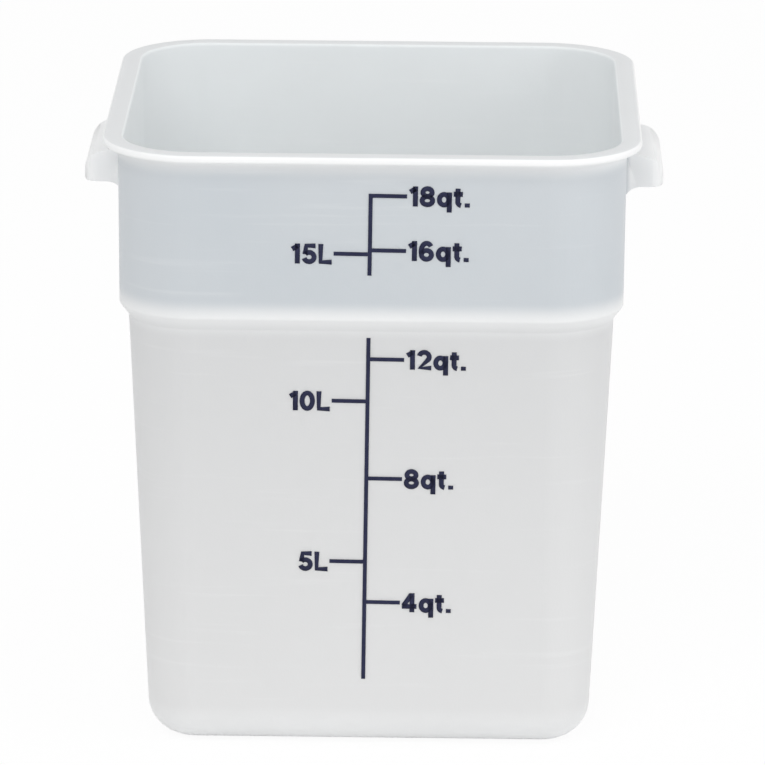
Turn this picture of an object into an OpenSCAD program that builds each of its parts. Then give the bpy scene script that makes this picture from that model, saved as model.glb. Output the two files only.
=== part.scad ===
// Square 18 quart container for proofing dough
// One moulded tub with a hooded handle on two sides, and a volume scale printed on its front.
// The origin is the middle of the resting face, +Z is up, and the scale faces -Y.
// Lengths are in millimetres, angles in degrees and volumes in litres.

/* [Tub] */
// Height from the resting face to the top of the rim
tub_h = 326; // [295:1:355]
// Outside width of the upper band, just under the rim
band_w = 264.4; // [254:0.2:280]
// Outside corner radius of the upper band, seen from above
band_corner_r = 41.2; // [34:0.2:60]
// Draft of the upper band
band_draft = 0.3; // [0:0.1:1]
// Draft of the lower wall
wall_draft = 2.6; // [1:0.1:4]
// Thickness of the upper band
band_t = 3; // [2:0.1:4]
// Thickness of the lower wall
wall_t = 3.5; // [2:0.1:5]

/* [Shoulder] */
// Height of the lower edge of the shoulder
shoulder_z = 231; // [205:1:250]
// Height of the sloping face of the shoulder
shoulder_h = 6.5; // [4:0.5:12]
// How far the shoulder steps in, on each side
shoulder_step = 4.9; // [3:0.1:8]
// Radius of the shoulder's two bends
shoulder_r = 2.4; // [1:0.2:3]

/* [Rim] */
// How far the rim reaches past the upper band
rim_reach = 7.9; // [5.5:0.1:12]
// Thickness of the rim
rim_t = 4; // [3.2:0.1:6]
// Radius of the rim's outer edges
rim_edge_r = 1.5; // [0.5:0.1:1.9]
// Radius of the bend under the rim
rim_root_r = 3.5; // [1:0.1:5]
// Radius of the mouth's inner edge
mouth_r = 1.5; // [0.5:0.1:2]

/* [Base] */
// Height of the floor's inner face above the resting face
floor_t = 9; // [6:0.1:10]
// Outside radius between the wall and the floor
base_r = 20; // [12:0.5:24]
// Width of the ring that the tub stands on
foot_w = 9; // [4:0.5:16]
// Depth of the hollow inside that ring
foot_h = 3.5; // [1:0.1:4]
// Corner radius of the hollow
foot_corner_r = 16; // [8:1:30]

/* [Handles] */
// Length of a handle along the side of the tub
handle_l = 75; // [50:1:110]
// How far a handle reaches past the upper band
handle_reach = 21.2; // [17:0.1:26]
// Depth of a handle's top below the top of the rim, at the wall
handle_drop = 19.5; // [12:0.5:30]
// Height of a handle from its top at the wall to its lower edge
handle_h = 19.2; // [17:0.1:26]
// Fall of a handle's top towards its outer edge
handle_slope = 14; // [0:1:16]
// Radius of the long outer edge of a handle
handle_edge_r = 10.5; // [4:0.5:11]
// Radius of a handle's ends, seen from above
handle_end_r = 7.2; // [4:0.1:10]
// Radius of a handle's lower edge at its outer corners
handle_lip_r = 2; // [0.5:0.1:3]
// Thickness of a handle's skin
handle_t = 2.8; // [2:0.1:3.5]
// Radius of the web under each end of a handle
web_r = 9.5; // [4:0.5:14]

/* [Printed scale] */
// Largest mark of the scale, in quarts
top_quart = 18; // [12:1:19]
// Quarts from one mark to the next
quart_step = 4; // [2:1:6]
// Litres from one mark to the next
litre_step = 5; // [2:1:6]
// Thickness of the ink
ink_t = 0.15; // [0.1:0.05:0.4]
// Width of a printed line
stroke_w = 2.1; // [1:0.1:3]
// Length of a mark, from the side of the upright line
mark_l = 17.6; // [8:0.2:30]
// Height at which the scale starts
scale_start = 38.6; // [33:0.2:65]
// Bare strip between the shoulder and the lower line
lower_gap = 3.6; // [2:0.2:20]
// Bare strip between the shoulder and the upper line
upper_gap = 24.4; // [4:0.2:34]
// Lean of the whole print, with its foot to the left
scale_lean = 0.55; // [0:0.05:1.5]

/* [Hidden] */

litres_per_quart = 0.946353;
// Largest turn of one step of a rounded corner
arc_step = 11.25;
// Segments of a full turn at the four upright corners
$fn = 96;
// How far a cut runs past the face that it opens
cut_past = 1;
// Halvings of the search for a mark's height
search_steps = 24;

// Middle of each upright corner's radius, from the middle of the tub
corner_c = band_w / 2 - band_corner_r;
rim_z = tub_h - rim_t;
shoulder_top = shoulder_z + shoulder_h;

// Half of the outside width, in the upper band and in the lower wall
function band_half(z) = band_w / 2 - (rim_z - z) * tan(band_draft);
function wall_half(z) =
    band_half(shoulder_top) - shoulder_step - (shoulder_z - z) * tan(wall_draft);

// The inside of the shoulder lies higher than the outside by a mitre of the wall
shoulder_angle = atan(shoulder_step / shoulder_h);
inner_shoulder_z = shoulder_z + wall_t * tan((shoulder_angle - wall_draft) / 2);
inner_shoulder_top = shoulder_top + band_t * tan((shoulder_angle - band_draft) / 2);
function band_inside(z) = band_half(z) - band_t / cos(band_draft);
function wall_inside(z) = wall_half(z) - wall_t / cos(wall_draft);

// Rounding of outlines whose corners are [x, y, radius]
function flat(corner) = [corner[0], corner[1]];
function unit(v) = v / norm(v);
function corner_arc(before, corner, after, r) =
    let(
        back = unit(before - corner),
        on = unit(after - corner),
        half_angle = acos(back * on) / 2,
        centre = corner + unit(back + on) * r / sin(half_angle),
        from = corner + back * r / tan(half_angle) - centre,
        to = corner + on * r / tan(half_angle) - centre,
        start = atan2(from[1], from[0]),
        turn = atan2(from[0] * to[1] - from[1] * to[0], from * to),
        steps = ceil(abs(turn) / arc_step)
    )
    [for (i = [0:steps]) centre + r * [cos(start + turn * i / steps), sin(start + turn * i / steps)]];
function rounded(corners) =
    let(n = len(corners))
    [for (i = [0:n - 1])
        let(
            before = flat(corners[(i + n - 1) % n]),
            after = flat(corners[(i + 1) % n])
        )
        each corners[i][2] == 0
            ? [flat(corners[i])]
            : corner_arc(before, flat(corners[i]), after, corners[i][2])];
function square_corners(w, l, r) =
    [[-w / 2, -l / 2, r], [w / 2, -l / 2, r], [w / 2, l / 2, r], [-w / 2, l / 2, r]];

// Section of the tub from a corner's middle outwards: out along the floor, up the outside,
// over the rim and down the inside
wall_section = rounded([
    [0, 0, 0],
    [wall_half(0) - corner_c, 0, base_r],
    [wall_half(shoulder_z) - corner_c, shoulder_z, shoulder_r],
    [band_half(shoulder_top) - corner_c, shoulder_top, shoulder_r],
    [band_half(rim_z) - corner_c, rim_z, rim_root_r],
    [band_half(rim_z) + rim_reach - corner_c, rim_z, rim_edge_r],
    [band_half(rim_z) + rim_reach - corner_c, tub_h, rim_edge_r],
    [band_inside(tub_h) - corner_c, tub_h, mouth_r],
    [band_inside(inner_shoulder_top) - corner_c, inner_shoulder_top, shoulder_r],
    [wall_inside(inner_shoulder_z) - corner_c, inner_shoulder_z, shoulder_r],
    [wall_inside(floor_t) - corner_c, floor_t, base_r - floor_t],
    [0, floor_t, 0]
]);

module tub_shell() {
    for (side = [0:3]) {
        rotate([0, 0, 90 * side]) {
            translate([corner_c, corner_c, 0])
                rotate_extrude(angle = 90)
                    polygon(wall_section);
            translate([corner_c, 0, 0])
                rotate([90, 0, 0])
                    linear_extrude(2 * corner_c, center = true)
                        polygon(wall_section);
        }
    }
    translate([-corner_c, -corner_c, 0])
        cube([2 * corner_c, 2 * corner_c, floor_t]);
}

// Hollow under the floor, which leaves a ring to stand on
module foot_hollow() {
    hollow_w = 2 * (wall_half(0) - base_r - foot_w);
    translate([0, 0, -cut_past])
        linear_extrude(foot_h + cut_past)
            polygon(rounded(square_corners(hollow_w, hollow_w, foot_corner_r)));
}

// Handle on the +X side: a hood that fingers reach into from below
handle_top = tub_h - handle_drop;
handle_foot = handle_top - handle_h;
handle_face = band_half(handle_top);
handle_out = handle_face + handle_reach;
handle_root = handle_face - band_t / 2;
handle_fall = handle_reach * tan(handle_slope);

module handle_block(inset, below) {
    hood = rounded([
        [handle_root, handle_foot - below, 0],
        [handle_out - inset, handle_foot - below, below == 0 ? handle_lip_r : 0],
        [handle_out - inset, handle_top - handle_fall - inset, handle_edge_r - inset],
        [handle_root, handle_top + (handle_face - handle_root) * tan(handle_slope) - inset, 0]
    ]);
    plan = rounded([
        [0, -handle_l / 2 + inset, 0],
        [handle_out - inset, -handle_l / 2 + inset, handle_end_r - inset],
        [handle_out - inset, handle_l / 2 - inset, handle_end_r - inset],
        [0, handle_l / 2 - inset, 0]
    ]);
    intersection() {
        rotate([90, 0, 0])
            linear_extrude(handle_l, center = true)
                polygon(hood);
        translate([0, 0, handle_foot - below - cut_past])
            linear_extrude(handle_h + below + 2 * cut_past)
                polygon(plan);
    }
}

// Web that carries each end of the hood down to the wall
module handle_webs() {
    web_x = band_half(handle_foot);
    web = rounded([
        [handle_root, handle_foot - web_r - cut_past, 0],
        [band_half(handle_foot - web_r - cut_past), handle_foot - web_r - cut_past, 0],
        [web_x, handle_foot, web_r],
        [web_x + web_r + cut_past, handle_foot, 0],
        [web_x + web_r + cut_past, handle_foot + cut_past, 0],
        [handle_root, handle_foot + cut_past, 0]
    ]);
    for (end = [-1, 1]) {
        translate([0, end * (handle_l - handle_t) / 2, 0])
            rotate([90, 0, 0])
                linear_extrude(handle_t, center = true)
                    polygon(web);
    }
}

module handle() {
    difference() {
        handle_block(0, 0);
        handle_block(handle_t, cut_past);
    }
    handle_webs();
}

module tub() {
    color("whitesmoke") {
        difference() {
            tub_shell();
            foot_hollow();
        }
        handle();
        mirror([1, 0, 0])
            handle();
    }
}

// Volume that the tub holds up to a height, with the loss at the rounded floor edge taken off
// A drafted stretch has an area of the second degree, so Simpson's rule gives it exactly
levels = [floor_t, inner_shoulder_z, inner_shoulder_top, tub_h];
function inside_half(z) =
    z < inner_shoulder_z ? wall_inside(z)
    : z > inner_shoulder_top ? band_inside(z)
    : wall_inside(inner_shoulder_z)
        + (z - inner_shoulder_z) / (inner_shoulder_top - inner_shoulder_z)
        * (band_inside(inner_shoulder_top) - wall_inside(inner_shoulder_z));
function inside_area(z) =
    4 * pow(inside_half(z), 2) - (4 - PI) * pow(inside_half(z) - corner_c, 2);
function stretch_volume(low, high) =
    (high - low) / 6 * (inside_area(low) + 4 * inside_area((low + high) / 2) + inside_area(high));
floor_edge_loss =
    (1 - PI / 4) * pow(base_r - floor_t, 2)
    * (8 * corner_c + 2 * PI * (wall_inside(floor_t) - corner_c));
function total(list, i = 0) = i == len(list) ? 0 : list[i] + total(list, i + 1);
function fill_litres(z) =
    (total([for (i = [0:2]) if (z > levels[i]) stretch_volume(levels[i], min(z, levels[i + 1]))])
        - floor_edge_loss) / 1e6;
function search(litres, low, high, steps) =
    let(middle = (low + high) / 2)
    steps == 0 ? middle
    : fill_litres(middle) < litres ? search(litres, middle, high, steps - 1)
    : search(litres, low, middle, steps - 1);
function fill_height(litres) = search(litres, floor_t, tub_h, search_steps);

// Heights of the marks, without those that would fall on the shoulder or the rim
highest_mark = rim_z - rim_root_r - stroke_w;
function printable(z) =
    z < highest_mark
    && z > scale_start
    && (z < shoulder_z - lower_gap - stroke_w / 2 || z > shoulder_top + upper_gap - lower_gap);
quart_list = [for (q = [quart_step:quart_step:top_quart - 1]) q, top_quart];
litre_list = [for (l = [litre_step:litre_step:top_quart * litres_per_quart - 1]) l];
quart_heights =
    [for (q = quart_list) let(z = fill_height(q * litres_per_quart)) if (printable(z)) z];
litre_heights = [for (l = litre_list) let(z = fill_height(l)) if (printable(z)) z];

upper_line_start = shoulder_top + upper_gap;
upper_line_end = max(max(quart_heights) + stroke_w / 2, upper_line_start + 2 * stroke_w);
lower_line_end = shoulder_z - lower_gap;

// Drawing on the front: x is to the right and y is up from a height, on the face there
module on_front(z, half, draft) {
    translate([0, -half, z])
        rotate([90 + draft, 0, 0])
            linear_extrude(ink_t)
                children();
}

// The whole print leans about the top of the upper line
function lean_x(z) = -(upper_line_end - z) * tan(scale_lean);

module front_face(z) {
    if (z > shoulder_top)
        on_front(z, band_half(z), band_draft) children();
    else
        on_front(z, wall_half(z), wall_draft) children();
}

module upright_line(low, high) {
    front_face(low)
        translate([lean_x(low), 0])
            rotate(-scale_lean)
                translate([-stroke_w / 2, 0])
                    square([stroke_w, high - low]);
}

// One mark beside the upright line: side 1 is to its right and side -1 to its left
module mark(z, side) {
    front_face(z)
        translate([lean_x(z), 0])
            rotate(-scale_lean)
                translate([side * (stroke_w + mark_l) / 2, 0])
                    square([mark_l, stroke_w], center = true);
}

module upper_scale_line() {
    color("midnightblue") upright_line(upper_line_start, upper_line_end);
}

module lower_scale_line() {
    color("midnightblue") upright_line(scale_start, lower_line_end);
}

module quart_marks() {
    color("midnightblue") for (z = quart_heights) mark(z, 1);
}

module litre_marks() {
    color("midnightblue") for (z = litre_heights) mark(z, -1);
}

tub();
upper_scale_line();
lower_scale_line();
quart_marks();
litre_marks();
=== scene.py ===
# Looks of a square proofing container: milky moulded plastic, a printed volume scale
# and a plain white studio.
# Lengths are in metres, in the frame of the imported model: +Z is up and the printed front faces -Y.

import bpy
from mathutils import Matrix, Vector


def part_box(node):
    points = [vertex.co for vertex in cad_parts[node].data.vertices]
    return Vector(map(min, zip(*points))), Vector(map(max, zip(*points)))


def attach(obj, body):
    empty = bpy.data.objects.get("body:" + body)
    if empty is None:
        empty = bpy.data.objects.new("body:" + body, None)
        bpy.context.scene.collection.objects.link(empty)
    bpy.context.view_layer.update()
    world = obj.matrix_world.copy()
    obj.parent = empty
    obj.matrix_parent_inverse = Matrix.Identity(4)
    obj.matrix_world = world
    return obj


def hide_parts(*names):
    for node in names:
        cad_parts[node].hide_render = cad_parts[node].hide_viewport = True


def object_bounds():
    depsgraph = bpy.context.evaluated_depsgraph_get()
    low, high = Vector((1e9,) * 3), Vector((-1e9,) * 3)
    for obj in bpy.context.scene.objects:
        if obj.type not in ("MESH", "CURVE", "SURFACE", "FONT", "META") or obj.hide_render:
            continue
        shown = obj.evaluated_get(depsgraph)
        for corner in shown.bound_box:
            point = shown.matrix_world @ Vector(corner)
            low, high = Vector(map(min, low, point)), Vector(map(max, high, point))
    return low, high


bl_info = {
    "name": "Proofing Container Looks",
    "version": (1, 0, 0),
    "blender": (4, 5, 0),
    "location": "View3D > Sidebar > Proofer",
    "description": "Finishes a square proofing container and sets up its studio",
    "category": "Object",
}

import math

import bmesh
import bpy
from bpy.props import FloatProperty, FloatVectorProperty, PointerProperty
from mathutils import Matrix, Vector

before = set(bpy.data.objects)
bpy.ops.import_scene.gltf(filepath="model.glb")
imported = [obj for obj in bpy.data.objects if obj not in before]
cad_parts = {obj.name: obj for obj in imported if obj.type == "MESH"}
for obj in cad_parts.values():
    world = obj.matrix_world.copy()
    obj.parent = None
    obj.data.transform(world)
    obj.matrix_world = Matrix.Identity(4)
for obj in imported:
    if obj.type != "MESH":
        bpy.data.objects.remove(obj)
CAD_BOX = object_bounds()

IMAGE_SIDE = 765
INK_NODES = ("upper_scale_line", "lower_scale_line", "quart_marks", "litre_marks")
QUART_LABELS = ("4qt.", "8qt.", "12qt.", "16qt.", "18qt.")
LITRE_LABELS = ("5L", "10L", "15L")
# Marks of one node lie further apart than this
MARK_SPACING = 0.005

# The part of a noise's range that is spread over 0 to 1, for clouds and grain
NOISE_LOW = 0.3
NOISE_HIGH = 0.7
# Rubs are the highest values of a noise that is turned a little and squeezed in height
RUB_LOW = 0.6
RUB_HIGH = 0.78
RUB_TURN = (0.1, 0.22, 0.05)
RUB_STRETCH = (0.35, 0.35, 7.0)

# From the top of the lower printed line up to the shoulder's middle
LINE_TO_SHOULDER = 0.0085
# Painted highlight along the shoulder: height above its middle, reach on both sides, and strength
SHOULDER_LIFT = 0.001
SHOULDER_REACH = 0.0115
SHOULDER_GLOW = 0.68
# Height above the shoulder over which the band's painted shade comes in
BAND_FADE = 0.012
# Where the painted glow starts, and where it is full: below the top for the rim,
# above the resting face for the foot, and sideways from the middle for the handles
RIM_FADE = (0.014, 0.003)
FOOT_FADE = (0.024, 0.002)
HANDLE_FADE = (0.1325, 0.1365)
# Painted shade on the rim's level top: how far a face looks up, and how far it lies below the top
LEVEL_FADE = (0.8, 0.99)
RIM_TOP_FADE = (0.004, 0.001)
# Painted light on the inner faces: a face's distance from the upright axis, times how far it looks away
# from it
INWARD_FADE = (-0.02, -0.08)

# Clouds in the plastic: their share against the mottle, and how much lighter they are
CLOUD_SHARE = 4
CLOUD_LIGHT = 1.06
# Share of the light colour in a rub, and what a rub adds to the roughness
RUB_WHITE = 0.35
RUB_ROUGH = 0.25
# The plastic's roughness swings by this much about its middle
ROUGH_SWING = 0.05
# Relief of the plastic: share of the grain, depth and strength
GRAIN_RELIEF = 0.5
PLASTIC_RELIEF = 0.00008
PLASTIC_RELIEF_STRENGTH = 0.35
PLASTIC_IOR = 1.51
PLASTIC_SPECULAR = 0.35

# How much clouds and rubs thin the print
INK_CLOUDS = 0.35
INK_RUBS = 0.6
INK_ROUGH = (0.45, 0.6)
INK_RELIEF = 0.00003
INK_RELIEF_STRENGTH = 0.5
INK_SPECULAR = 0.3

# Edges sharper than this stay creased in the smooth skin
CREASE = math.radians(24)
# Points closer than these are one point, in the skin and in the letters
SKIN_MERGE = 1e-6
LETTER_MERGE = 1e-7
# Edges shorter than this are closed up
SHORTEST_EDGE = 1e-7

FLOOR_REACH = 9.0
FLOOR_ROUGH = 0.9
# Just over 1, so that the floor ends up plain white
FLOOR_GLOW = 1.01
LAMP_AIM = (0.0, 0.0, 0.16)
KEY_SIDE = 1.6
KEY_PLACE = (-0.7, -2.2, 2.4)
FILL_SIDE = 1.4
FILL_PLACE = (2.2, -0.9, 1.2)
CAMERA_NEAR = 0.05
CAMERA_FAR = 60


class PlasticFinish(bpy.types.PropertyGroup):
    lower_colour: FloatVectorProperty(
        name="Lower wall", description="Colour of the drafted lower wall, under the shoulder",
        default=(0.68, 0.685, 0.69), subtype="COLOR", size=3, min=0, max=1)
    # Painted light: the lower wall turns lighter towards the floor, standing in for light thrown up by the
    # floor
    floor_bounce_colour: FloatVectorProperty(
        name="Base", description="Colour of the lower wall where it meets the floor",
        default=(0.80, 0.80, 0.80), subtype="COLOR", size=3, min=0, max=1)
    # Painted shade: the band under the rim is darker than the lower wall
    band_shade_colour: FloatVectorProperty(
        name="Upper band", description="Colour of the thicker band under the rim",
        default=(0.59, 0.625, 0.655), subtype="COLOR", size=3, min=0, max=1)
    # Painted shade: the rim's up-facing faces are darker than its edge
    rim_top_shade_colour: FloatVectorProperty(
        name="Rim top", description="Colour of the level top of the rim",
        default=(0.76, 0.775, 0.785), subtype="COLOR", size=3, min=0, max=1)
    # Painted light: the faces inside the tub are lighter than the outer ones
    inside_light_colour: FloatVectorProperty(
        name="Inside", description="Colour of the polished inner faces",
        default=(0.85, 0.88, 0.89), subtype="COLOR", size=3, min=0, max=1)
    # Painted glow on the rim, shoulder, foot and handle ends; the wear rubs also take this colour
    glow_and_rub_colour: FloatVectorProperty(
        name="Rim and shoulder", description="Colour where the moulding is thick and scatters more light",
        default=(0.95, 0.96, 0.965), subtype="COLOR", size=3, min=0, max=1)
    mottle: FloatProperty(
        name="Mottle", description="Strength of the cloudy variation in the moulding",
        default=0.05, subtype="FACTOR", min=0, max=1)
    scatter: FloatProperty(
        name="Scatter", description="Share of the light that scatters inside the wall",
        default=0.45, subtype="FACTOR", min=0, max=1)
    scatter_depth: FloatProperty(
        name="Scatter depth", description="How far light travels inside the wall",
        default=0.006, unit="LENGTH", min=0.0005, max=0.05)
    roughness: FloatProperty(
        name="Roughness", description="Middle roughness of the satin surface",
        default=0.42, subtype="FACTOR", min=0.05, max=1)


class InkFinish(bpy.types.PropertyGroup):
    colour: FloatVectorProperty(
        name="Ink", description="Colour of the printed scale",
        default=(0.010, 0.012, 0.045), subtype="COLOR", size=3, min=0, max=1)
    worn_colour: FloatVectorProperty(
        name="Worn ink", description="Colour where the print is thin",
        default=(0.03, 0.035, 0.09), subtype="COLOR", size=3, min=0, max=1)


class NumeralSizes(bpy.types.PropertyGroup):
    height: FloatProperty(
        name="Height", description="Height of a digit above its line",
        default=0.0106, unit="LENGTH", min=0.004, max=0.03)
    stretch: FloatProperty(
        name="Stretch", description="Width of the letters against their drawn width",
        default=1.08, min=0.5, max=2)
    stroke: FloatProperty(
        name="Stroke", description="Width of a letter's stroke, as a share of a digit's height",
        default=0.245, min=0.05, max=0.3)
    spacing: FloatProperty(
        name="Spacing", description="Bare strip between two letters, as a share of a digit's height",
        default=0.095, min=0, max=0.4)
    gap: FloatProperty(
        name="Gap", description="Bare strip between a mark and its label",
        default=0.0009, unit="LENGTH", min=0, max=0.01)
    ink: FloatProperty(
        name="Ink thickness", description="How far the print stands proud of the wall",
        default=0.00015, unit="LENGTH", min=0.00005, max=0.0005)
    lean: FloatProperty(
        name="Lean", description="Lean of the print on the wall",
        default=math.radians(0.55), subtype="ANGLE", min=0, max=0.1)


class StudioSettings(bpy.types.PropertyGroup):
    dome: FloatProperty(
        name="Dome", description="Strength of the even light from all round",
        default=0.72, min=0, max=4)
    key: FloatProperty(
        name="Key", description="Power of the large soft lamp above the front",
        default=26.0, unit="POWER", min=0, max=500)
    fill: FloatProperty(
        name="Fill", description="Power of the soft lamp on the right",
        default=12.0, unit="POWER", min=0, max=500)
    floor_colour: FloatVectorProperty(
        name="Floor", description="Colour of the plain floor",
        default=(0.9, 0.9, 0.9), subtype="COLOR", size=3, min=0, max=1)
    floor_white: FloatProperty(
        name="Floor whiteness", description="How much of the floor's own shading is washed out to white",
        default=0.92, subtype="FACTOR", min=0, max=1)
    camera_yaw: FloatProperty(
        name="Camera yaw", description="Turn of the camera round the container",
        default=math.radians(0.795), subtype="ANGLE")
    camera_pitch: FloatProperty(
        name="Camera pitch", description="Height of the camera above the horizon, as an angle",
        default=math.radians(15.618), subtype="ANGLE")
    camera_roll: FloatProperty(
        name="Camera roll", description="Tilt of the picture",
        default=math.radians(0.416), subtype="ANGLE")
    camera_distance: FloatProperty(
        name="Camera distance", description="From the aim point to the camera",
        default=3.289, unit="LENGTH", min=0.5, max=20)
    camera_aim: FloatVectorProperty(
        name="Camera aim", description="Point in the middle of the picture",
        default=(0.00489, 0.0, 0.1679), subtype="XYZ", unit="LENGTH", size=3)
    focal_pixels: FloatProperty(
        name="Focal length", description="Focal length of the camera in pixels of the picture",
        default=6086.7, min=500, max=20000)


def rgba(colour):
    return (*colour, 1.0)


def add_node(tree, kind, **values):
    node = tree.nodes.new(kind)
    for name, value in values.items():
        setattr(node, name, value)
    return node


def mix_colours(tree, share, first, second):
    """A colour mix; each input is a socket or a colour."""
    mix = add_node(tree, "ShaderNodeMix", data_type="RGBA")
    for index, value in ((0, share), (6, first), (7, second)):
        if isinstance(value, bpy.types.NodeSocket):
            tree.links.new(value, mix.inputs[index])
        else:
            mix.inputs[index].default_value = value
    return mix.outputs[2]


def map_range(tree, value, low, high, to_low=0.0, to_high=1.0, smooth=False):
    node = add_node(tree, "ShaderNodeMapRange")
    if smooth:
        node.interpolation_type = "SMOOTHSTEP"
    tree.links.new(value, node.inputs["Value"])
    for name, number in (("From Min", low), ("From Max", high), ("To Min", to_low), ("To Max", to_high)):
        node.inputs[name].default_value = number
    return node.outputs["Result"]


def maths(tree, operation, first, second=0.0):
    node = add_node(tree, "ShaderNodeMath", operation=operation)
    for index, value in enumerate((first, second)):
        if isinstance(value, bpy.types.NodeSocket):
            tree.links.new(value, node.inputs[index])
        else:
            node.inputs[index].default_value = value
    return node.outputs[0]


def new_group(name, inputs, outputs):
    """A shader node group with named float inputs and outputs."""
    group = bpy.data.node_groups.new(name, "ShaderNodeTree")
    for label, default in inputs:
        socket = group.interface.new_socket(label, in_out="INPUT", socket_type="NodeSocketFloat")
        socket.default_value = default
    for label in outputs:
        group.interface.new_socket(label, in_out="OUTPUT", socket_type="NodeSocketFloat")
    return group, add_node(group, "NodeGroupInput"), add_node(group, "NodeGroupOutput")


def cloudy_mottle():
    """Soft clouds and fine grain, each from 0 to 1; Size and Grain are the scales of their noise."""
    name = "cloudy_mottle"
    if name in bpy.data.node_groups:
        return bpy.data.node_groups[name]
    group, given, made = new_group(name, (("Size", 14.0), ("Grain", 900.0)), ("Clouds", "Fine"))
    place = add_node(group, "ShaderNodeTexCoord")
    for label, source, detail in (("Clouds", "Size", 3.0), ("Fine", "Grain", 2.0)):
        noise = add_node(group, "ShaderNodeTexNoise")
        noise.inputs["Detail"].default_value = detail
        group.links.new(place.outputs["Object"], noise.inputs["Vector"])
        group.links.new(given.outputs[source], noise.inputs["Scale"])
        spread = map_range(group, noise.outputs["Fac"], NOISE_LOW, NOISE_HIGH)
        group.links.new(spread, made.inputs[label])
    return group


def rub_marks():
    """Thin, mostly level rubs from stacking and washing, as a mask."""
    name = "rub_marks"
    if name in bpy.data.node_groups:
        return bpy.data.node_groups[name]
    group, given, made = new_group(name, (("Size", 40.0), ("Amount", 0.3)), ("Rubs",))
    place = add_node(group, "ShaderNodeTexCoord")
    stretch = add_node(group, "ShaderNodeMapping")
    stretch.inputs["Rotation"].default_value = RUB_TURN
    stretch.inputs["Scale"].default_value = RUB_STRETCH
    noise = add_node(group, "ShaderNodeTexNoise")
    noise.inputs["Detail"].default_value = 4.0
    group.links.new(place.outputs["Object"], stretch.inputs["Vector"])
    group.links.new(stretch.outputs["Vector"], noise.inputs["Vector"])
    group.links.new(given.outputs["Size"], noise.inputs["Scale"])
    lines = map_range(group, noise.outputs["Fac"], RUB_LOW, RUB_HIGH)
    group.links.new(maths(group, "MULTIPLY", lines, given.outputs["Amount"]), made.inputs["Rubs"])
    return group


def use_group(tree, group, **values):
    node = add_node(tree, "ShaderNodeGroup", node_tree=group)
    for name, value in values.items():
        node.inputs[name].default_value = value
    return node


def new_material(name):
    material = bpy.data.materials.new(name)
    material.use_nodes = True
    return material, material.node_tree, material.node_tree.nodes["Principled BSDF"]


def height_bump(tree, surface, height, distance, strength):
    bump = add_node(tree, "ShaderNodeBump")
    bump.inputs["Distance"].default_value = distance
    bump.inputs["Strength"].default_value = strength
    tree.links.new(height, bump.inputs["Height"])
    tree.links.new(bump.outputs["Normal"], surface.inputs["Normal"])


def height_peak(tree, height, middle, reach):
    """1 at the middle height, falling smoothly to 0 at the reach on both sides."""
    away = maths(tree, "ABSOLUTE", maths(tree, "SUBTRACT", height, middle))
    return map_range(tree, away, 0.0, reach, 1.0, 0.0, smooth=True)


def facing_inwards(tree, place):
    """1 on the upright faces that look at the middle of the tub, and 0 on the outer and level ones."""
    flat = add_node(tree, "ShaderNodeVectorMath", operation="MULTIPLY")
    flat.inputs[1].default_value = (1, 1, 0)
    dot = add_node(tree, "ShaderNodeVectorMath", operation="DOT_PRODUCT")
    tree.links.new(place.outputs["Object"], flat.inputs[0])
    tree.links.new(flat.outputs["Vector"], dot.inputs[0])
    tree.links.new(place.outputs["Normal"], dot.inputs[1])
    return map_range(tree, dot.outputs["Value"], *INWARD_FADE, smooth=True)


def facing_up(tree, place):
    """How far a face looks up, from -1 to 1."""
    split = add_node(tree, "ShaderNodeSeparateXYZ")
    tree.links.new(place.outputs["Normal"], split.inputs["Vector"])
    return split.outputs["Z"]


def shoulder_heights():
    """Heights of the shoulder's middle and of the tub's top, from the frame."""
    lower_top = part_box("lower_scale_line")[1].z
    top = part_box("tub")[1].z
    return lower_top + LINE_TO_SHOULDER, top


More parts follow.
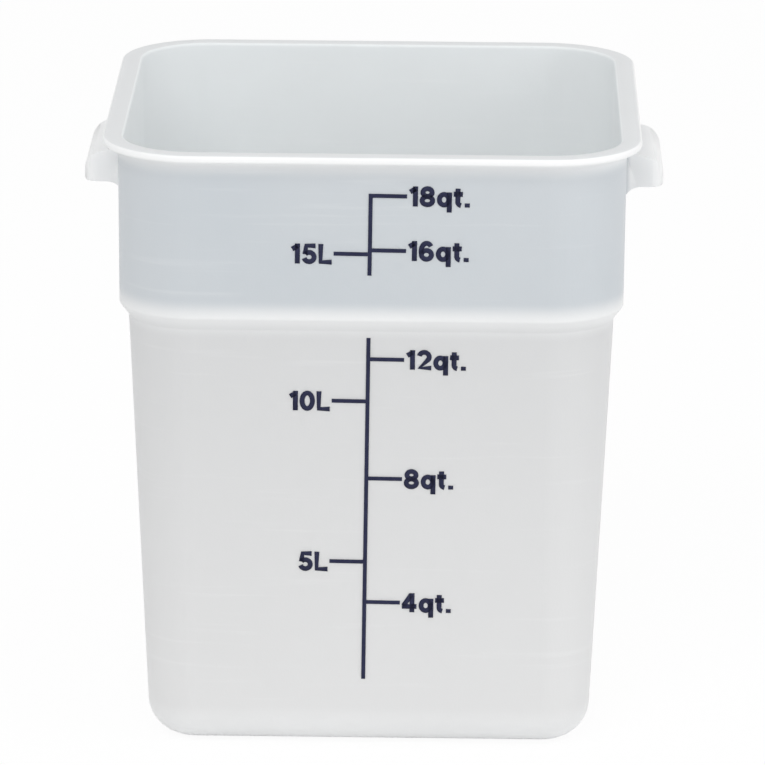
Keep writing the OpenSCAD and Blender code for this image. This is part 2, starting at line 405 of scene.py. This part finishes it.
def milky_plastic(finish):
    material, tree, surface = new_material("milky_plastic")
    shoulder, top = shoulder_heights()
    place = add_node(tree, "ShaderNodeTexCoord")
    split = add_node(tree, "ShaderNodeSeparateXYZ")
    tree.links.new(place.outputs["Object"], split.inputs["Vector"])
    height = split.outputs["Z"]
    mottle = use_group(tree, cloudy_mottle(), Size=11.0, Grain=950.0)
    rubs = use_group(tree, rub_marks(), Size=36.0, Amount=0.35)

    # Painted light: lighter towards the floor
    floor_bounce_share = map_range(tree, height, shoulder, 0.0)
    colour = mix_colours(tree, floor_bounce_share, rgba(finish.lower_colour), rgba(finish.floor_bounce_colour))
    # Painted shade: the band above the shoulder is darker
    shaded_band = map_range(tree, height, shoulder, shoulder + BAND_FADE, smooth=True)
    colour = mix_colours(tree, shaded_band, colour, rgba(finish.band_shade_colour))
    # Painted glow along the shoulder, under the rim, at the foot and on the handle ends
    sideways = maths(tree, "ABSOLUTE", split.outputs["X"])
    along_shoulder = height_peak(tree, height, shoulder + SHOULDER_LIFT, SHOULDER_REACH)
    glowing = maths(tree, "MULTIPLY", along_shoulder, SHOULDER_GLOW)
    for value, fade in (
            (height, [top - depth for depth in RIM_FADE]),
            (height, FOOT_FADE),
            (sideways, HANDLE_FADE)):
        glowing = maths(tree, "MAXIMUM", glowing, map_range(tree, value, *fade, smooth=True))
    colour = mix_colours(tree, glowing, colour, rgba(finish.glow_and_rub_colour))
    # Painted shade on the rim's up-facing faces
    level = map_range(tree, facing_up(tree, place), *LEVEL_FADE, smooth=True)
    on_rim = map_range(tree, height, *(top - depth for depth in RIM_TOP_FADE))
    colour = mix_colours(tree, maths(tree, "MULTIPLY", level, on_rim), colour, rgba(finish.rim_top_shade_colour))
    # Painted light on the inner faces
    colour = mix_colours(tree, facing_inwards(tree, place), colour, rgba(finish.inside_light_colour))
    cloud_share = maths(tree, "MULTIPLY", mottle.outputs["Clouds"], finish.mottle * CLOUD_SHARE)
    cloud_colour = rgba(part * CLOUD_LIGHT for part in finish.lower_colour)
    colour = mix_colours(tree, cloud_share, colour, cloud_colour)
    # Rubs are wear; they are lightened towards the painted glow's colour
    rub_share = maths(tree, "MULTIPLY", rubs.outputs["Rubs"], RUB_WHITE)
    colour = mix_colours(tree, rub_share, colour, rgba(finish.glow_and_rub_colour))
    tree.links.new(colour, surface.inputs["Base Color"])

    smoothest = finish.roughness - ROUGH_SWING
    roughest = finish.roughness + ROUGH_SWING
    rough = map_range(tree, mottle.outputs["Clouds"], 0.0, 1.0, smoothest, roughest)
    rough = maths(tree, "ADD", rough, maths(tree, "MULTIPLY", rubs.outputs["Rubs"], RUB_ROUGH))
    tree.links.new(rough, surface.inputs["Roughness"])
    grain = maths(tree, "MULTIPLY", mottle.outputs["Fine"], GRAIN_RELIEF)
    relief = maths(tree, "ADD", grain, rubs.outputs["Rubs"])
    height_bump(tree, surface, relief, PLASTIC_RELIEF, PLASTIC_RELIEF_STRENGTH)

    surface.inputs["IOR"].default_value = PLASTIC_IOR
    surface.inputs["Specular IOR Level"].default_value = PLASTIC_SPECULAR
    surface.inputs["Subsurface Weight"].default_value = finish.scatter
    surface.inputs["Subsurface Radius"].default_value = (1.0, 1.0, 1.0)
    surface.inputs["Subsurface Scale"].default_value = finish.scatter_depth
    return material


def printed_ink(finish):
    material, tree, surface = new_material("printed_ink")
    mottle = use_group(tree, cloudy_mottle(), Size=180.0, Grain=2600.0)
    rubs = use_group(tree, rub_marks(), Size=120.0, Amount=0.5)
    thin = maths(tree, "MULTIPLY", mottle.outputs["Clouds"], INK_CLOUDS)
    thin = maths(tree, "ADD", thin, maths(tree, "MULTIPLY", rubs.outputs["Rubs"], INK_RUBS))
    colour = mix_colours(tree, thin, rgba(finish.colour), rgba(finish.worn_colour))
    tree.links.new(colour, surface.inputs["Base Color"])
    rough = map_range(tree, mottle.outputs["Fine"], 0.0, 1.0, *INK_ROUGH)
    tree.links.new(rough, surface.inputs["Roughness"])
    height_bump(tree, surface, mottle.outputs["Fine"], INK_RELIEF, INK_RELIEF_STRENGTH)
    surface.inputs["Specular IOR Level"].default_value = INK_SPECULAR
    return material


def give_material(piece, material):
    """Puts one material in every slot of a piece."""
    if not piece.material_slots:
        piece.data.materials.append(material)
    for place in piece.material_slots:
        place.material = material


def shared_material(name, make, finish):
    return bpy.data.materials.get(name) or make(finish)


def marks_of(node):
    """(middle height, left end, right end) of each mark of a printed node, from the lowest up."""
    points = sorted((v.co.copy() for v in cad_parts[node].data.vertices), key=lambda p: p.z)
    groups = [[points[0]]]
    for before, point in zip(points, points[1:]):
        if point.z - before.z > MARK_SPACING:
            groups.append([])
        groups[-1].append(point)
    return [
        ((g[0].z + g[-1].z) / 2, min(p.x for p in g), max(p.x for p in g))
        for g in groups
    ]


def front_at(height, ink):
    """Depth of the front wall at a height, and its draft there, from the line printed on that stretch."""
    low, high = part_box("upper_scale_line")
    if height < low.z:
        low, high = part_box("lower_scale_line")
    deepest, foremost = high.y, low.y + ink
    draft = math.atan((deepest - foremost) / (high.z - low.z))
    return deepest - (height - low.z) * math.tan(draft), draft


def bow(x, y, reach_x, reach_y, start, end, steps=16):
    """Points along part of an ellipse round (x, y), from one angle to another in degrees."""
    angles = (math.radians(start + (end - start) * i / steps) for i in range(steps + 1))
    return [(x + reach_x * math.cos(a), y + reach_y * math.sin(a)) for a in angles]


def ring(x, y, reach_x, reach_y, steps=28):
    """A closed ellipse, whose last point isn't repeated."""
    return bow(x, y, reach_x, reach_y, 0, 360, steps)[:-1]


# Middle lines of the letters' strokes, in heights of a digit: (width, open strokes, closed strokes)
LETTERS = {
    "0": (0.68, [], [ring(0.34, 0.5, 0.235, 0.4)]),
    "1": (0.40, [[(0.29, 0.0), (0.29, 1.0)], [(0.05, 0.72), (0.3, 0.88)]], []),
    "2": (0.66, [bow(0.33, 0.66, 0.225, 0.24, 168, -38) + [(0.14, 0.1), (0.66, 0.1)]], []),
    "4": (0.70, [[(0.48, 0.0), (0.48, 1.0)], [(0.44, 0.93), (0.1, 0.34)], [(0.02, 0.3), (0.69, 0.3)]], []),
    "5": (0.66, [[(0.61, 0.9), (0.2, 0.9), (0.14, 0.47)], bow(0.33, 0.335, 0.225, 0.235, 140, -165)], []),
    "6": (0.68, [bow(0.35, 0.5, 0.245, 0.4, 200, 38)], [ring(0.345, 0.32, 0.225, 0.22)]),
    "8": (0.68, [], [ring(0.34, 0.3, 0.235, 0.2), ring(0.34, 0.71, 0.205, 0.19)]),
    "L": (0.60, [[(0.1, 1.0), (0.1, 0.1), (0.6, 0.1)]], []),
    "q": (0.66, [[(0.56, 0.73), (0.56, -0.27)]], [ring(0.32, 0.365, 0.21, 0.265)]),
    "t": (
        0.42,
        [
            [(0.19, 0.93), (0.19, 0.26)] + bow(0.36, 0.26, 0.17, 0.17, 180, 262, 6),
            [(0.0, 0.65), (0.41, 0.65)],
        ],
        [],
    ),
    ".": (0.22, [[(0.11, 0.0), (0.11, 0.2)]], []),
}


def add_spline(curve, points, closed):
    spline = curve.splines.new("POLY")
    spline.points.add(len(points) - 1)
    spline.use_cyclic_u = closed
    for place, (x, y) in zip(spline.points, points):
        place.co = (x, y, 0, 1)


def stroke_profile(width, thickness):
    """A closed rectangle that is swept along the strokes."""
    curve = bpy.data.curves.new("stroke_profile", "CURVE")
    corners = [(x * width / 2, y * thickness / 2) for x, y in ((-1, -1), (1, -1), (1, 1), (-1, 1))]
    add_spline(curve, corners, True)
    return bpy.data.objects.new("stroke_profile", curve)


def label_mesh(text, sizes):
    """A flat label on the XY plane from its base line up, with the ink's thickness along +Z."""
    tall = sizes.height
    profile = stroke_profile(sizes.stroke * tall, sizes.ink)
    curve = bpy.data.curves.new("label_strokes", "CURVE")
    curve.dimensions = "3D"
    curve.twist_mode = "Z_UP"
    curve.bevel_mode = "OBJECT"
    curve.bevel_object = profile
    curve.use_fill_caps = True
    start = 0.0
    for letter in text:
        width, open_strokes, closed_strokes = LETTERS[letter]
        for strokes, closed in ((open_strokes, False), (closed_strokes, True)):
            for stroke in strokes:
                points = [((start + x * sizes.stretch) * tall, y * tall) for x, y in stroke]
                add_spline(curve, points, closed)
        start += width * sizes.stretch + sizes.spacing
    label = bpy.data.objects.new("label_strokes", curve)
    bpy.context.scene.collection.objects.link(label)
    bpy.context.view_layer.update()
    evaluated = label.evaluated_get(bpy.context.evaluated_depsgraph_get())
    mesh = bpy.data.meshes.new_from_object(evaluated)
    for made in (label, profile):
        data = made.data
        bpy.data.objects.remove(made)
        bpy.data.curves.remove(data)
    mesh.transform(Matrix.Translation((-min(v.co.x for v in mesh.vertices), 0, sizes.ink / 2)))
    return mesh


def add_labels(name, node, labels, side, sizes, material):
    """One piece with a label beside each mark: to the right for side 1, and to the left for side -1."""
    letters = bmesh.new()
    for (height, left_end, right_end), text in zip(marks_of(node), labels, strict=True):
        mesh = label_mesh(text, sizes)
        width = max(v.co.x for v in mesh.vertices)
        start = right_end + sizes.gap if side > 0 else left_end - sizes.gap - width
        depth, draft = front_at(height, sizes.ink)
        mesh.transform(
            Matrix.Translation((start, depth, height))
            @ Matrix.Rotation(math.pi / 2 + draft, 4, "X")
            @ Matrix.Rotation(-sizes.lean, 4, "Z")
            @ Matrix.Translation((0, -sizes.height / 2, 0)))
        letters.from_mesh(mesh)
        bpy.data.meshes.remove(mesh)
    bmesh.ops.remove_doubles(letters, verts=letters.verts, dist=LETTER_MERGE)
    bmesh.ops.recalc_face_normals(letters, faces=letters.faces)
    mesh = bpy.data.meshes.new(name)
    letters.to_mesh(mesh)
    letters.free()
    piece = bpy.data.objects.new(name, mesh)
    bpy.context.scene.collection.objects.link(piece)
    give_material(piece, material)
    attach(piece, "root")


def smooth_copy(node, name):
    """A merged copy of a CAD node that is shaded smooth, with its sharp edges kept."""
    shape = bmesh.new()
    shape.from_mesh(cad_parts[node].data)
    bmesh.ops.remove_doubles(shape, verts=shape.verts, dist=SKIN_MERGE)
    bmesh.ops.dissolve_degenerate(shape, edges=shape.edges, dist=SHORTEST_EDGE)
    for face in shape.faces:
        face.smooth = True
    mesh = bpy.data.meshes.new(name)
    shape.to_mesh(mesh)
    shape.free()
    mesh.set_sharp_from_angle(angle=CREASE)
    piece = bpy.data.objects.new(name, mesh)
    bpy.context.scene.collection.objects.link(piece)
    return piece


class PROOFER_OT_finish_tub(bpy.types.Operator):
    """Gives the moulded tub its smooth skin and its milky plastic"""
    bl_idname = "proofer.finish_tub"
    bl_label = "Finish the tub"

    def execute(self, context):
        plastic = shared_material("milky_plastic", milky_plastic, context.scene.proofer_plastic)
        skin = smooth_copy("tub", "tub_moulding")
        give_material(skin, plastic)
        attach(skin, "root")
        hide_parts("tub")
        return {"FINISHED"}


class PROOFER_OT_finish_print(bpy.types.Operator):
    """Gives the printed lines and marks their ink"""
    bl_idname = "proofer.finish_print"
    bl_label = "Finish the lines and marks"

    def execute(self, context):
        ink = shared_material("printed_ink", printed_ink, context.scene.proofer_ink)
        for node in INK_NODES:
            give_material(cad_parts[node], ink)
        return {"FINISHED"}


class PROOFER_OT_add_numerals(bpy.types.Operator):
    """Prints the numbers and units beside the marks"""
    bl_idname = "proofer.add_numerals"
    bl_label = "Add the numbers"

    def execute(self, context):
        ink = shared_material("printed_ink", printed_ink, context.scene.proofer_ink)
        sizes = context.scene.proofer_numerals
        add_labels("quart_numerals", "quart_marks", QUART_LABELS, 1, sizes, ink)
        add_labels("litre_numerals", "litre_marks", LITRE_LABELS, -1, sizes, ink)
        return {"FINISHED"}


def studio_floor(studio):
    material, tree, surface = new_material("studio_floor")
    surface.inputs["Base Color"].default_value = rgba(studio.floor_colour)
    surface.inputs["Roughness"].default_value = FLOOR_ROUGH
    surface.inputs["Specular IOR Level"].default_value = 0.0
    path = add_node(tree, "ShaderNodeLightPath")
    seen = maths(tree, "MAXIMUM", path.outputs["Is Camera Ray"], path.outputs["Is Glossy Ray"])
    seen = maths(tree, "MAXIMUM", seen, path.outputs["Is Transmission Ray"])
    white = add_node(tree, "ShaderNodeEmission")
    white.inputs["Strength"].default_value = FLOOR_GLOW
    blend = add_node(tree, "ShaderNodeMixShader")
    tree.links.new(maths(tree, "MULTIPLY", seen, studio.floor_white), blend.inputs[0])
    tree.links.new(surface.outputs["BSDF"], blend.inputs[1])
    tree.links.new(white.outputs["Emission"], blend.inputs[2])
    tree.links.new(blend.outputs["Shader"], tree.nodes["Material Output"].inputs["Surface"])
    return material


def add_floor(studio):
    plane = bmesh.new()
    bmesh.ops.create_grid(plane, x_segments=1, y_segments=1, size=FLOOR_REACH)
    bmesh.ops.translate(plane, verts=plane.verts, vec=(0, 0, CAD_BOX[0].z))
    mesh = bpy.data.meshes.new("studio_floor")
    plane.to_mesh(mesh)
    plane.free()
    floor = bpy.data.objects.new("studio_floor", mesh)
    bpy.context.scene.collection.objects.link(floor)
    give_material(floor, studio_floor(studio))


def set_world(studio):
    world = bpy.data.worlds.new("studio_light")
    bpy.context.scene.world = world
    world.use_nodes = True
    tree = world.node_tree
    dome = tree.nodes["Background"]
    dome.inputs["Color"].default_value = (1, 1, 1, 1)
    dome.inputs["Strength"].default_value = studio.dome
    seen_white = add_node(tree, "ShaderNodeBackground")
    seen_white.inputs["Color"].default_value = (1, 1, 1, 1)
    path = add_node(tree, "ShaderNodeLightPath")
    blend = add_node(tree, "ShaderNodeMixShader")
    tree.links.new(path.outputs["Is Camera Ray"], blend.inputs[0])
    tree.links.new(dome.outputs["Background"], blend.inputs[1])
    tree.links.new(seen_white.outputs["Background"], blend.inputs[2])
    tree.links.new(blend.outputs["Shader"], tree.nodes["World Output"].inputs["Surface"])


def add_lamp(name, power, side, place):
    data = bpy.data.lights.new(name, "AREA")
    data.shape = "SQUARE"
    data.size = side
    data.energy = power
    lamp = bpy.data.objects.new(name, data)
    lamp.location = place
    lamp.rotation_euler = (Vector(LAMP_AIM) - Vector(place)).to_track_quat("-Z", "Y").to_euler()
    bpy.context.scene.collection.objects.link(lamp)


def add_camera(studio):
    """The camera of the photograph: it looks down at the front with a long lens and a slight roll."""
    yaw, pitch, roll = studio.camera_yaw, studio.camera_pitch, studio.camera_roll
    back = Vector((
        math.sin(yaw) * math.cos(pitch),
        -math.cos(yaw) * math.cos(pitch),
        math.sin(pitch)))
    level = Vector((math.cos(yaw), math.sin(yaw), 0))
    upright = back.cross(level)
    right = math.cos(roll) * level + math.sin(roll) * upright
    up = math.cos(roll) * upright - math.sin(roll) * level
    data = bpy.data.cameras.new("photo_camera")
    data.lens = studio.focal_pixels / IMAGE_SIDE * data.sensor_width
    data.clip_start = CAMERA_NEAR
    data.clip_end = CAMERA_FAR
    camera = bpy.data.objects.new("photo_camera", data)
    turn = Matrix((right, up, back)).transposed().to_4x4()
    place = Vector(studio.camera_aim) + back * studio.camera_distance
    camera.matrix_world = Matrix.Translation(place) @ turn
    bpy.context.scene.collection.objects.link(camera)
    bpy.context.scene.camera = camera


class PROOFER_OT_add_stage(bpy.types.Operator):
    """Sets up the floor, the light and the camera"""
    bl_idname = "proofer.add_stage"
    bl_label = "Add the studio"

    def execute(self, context):
        studio = context.scene.proofer_studio
        add_floor(studio)
        set_world(studio)
        add_lamp("key_lamp", studio.key, KEY_SIDE, KEY_PLACE)
        add_lamp("fill_lamp", studio.fill, FILL_SIDE, FILL_PLACE)
        add_camera(studio)
        context.scene.view_settings.view_transform = "Standard"
        return {"FINISHED"}


OPERATORS = (
    PROOFER_OT_finish_tub,
    PROOFER_OT_finish_print,
    PROOFER_OT_add_numerals,
    PROOFER_OT_add_stage,
)
SETTINGS = {
    "proofer_plastic": PlasticFinish,
    "proofer_ink": InkFinish,
    "proofer_numerals": NumeralSizes,
    "proofer_studio": StudioSettings,
}


class PROOFER_PT_panel(bpy.types.Panel):
    """Sizes, colours and steps of the proofing container"""
    bl_idname = "PROOFER_PT_panel"
    bl_label = "Proofing container"
    bl_space_type = "VIEW_3D"
    bl_region_type = "UI"
    bl_category = "Proofer"

    def draw(self, context):
        for group in SETTINGS:
            settings = getattr(context.scene, group)
            box = self.layout.box()
            for name in settings.__annotations__:
                box.prop(settings, name)
        for operator in OPERATORS:
            self.layout.operator(operator.bl_idname)


def register():
    for group in SETTINGS.values():
        bpy.utils.register_class(group)
    for name, group in SETTINGS.items():
        setattr(bpy.types.Scene, name, PointerProperty(type=group))
    for operator in OPERATORS:
        bpy.utils.register_class(operator)
    bpy.utils.register_class(PROOFER_PT_panel)


def unregister():
    bpy.utils.unregister_class(PROOFER_PT_panel)
    for operator in reversed(OPERATORS):
        bpy.utils.unregister_class(operator)
    for name, group in SETTINGS.items():
        delattr(bpy.types.Scene, name)
        bpy.utils.unregister_class(group)


def main():
    register()
    bpy.ops.proofer.finish_tub()
    bpy.ops.proofer.finish_print()
    bpy.ops.proofer.add_numerals()
    bpy.ops.proofer.add_stage()


if __name__ == "__main__":
    main()
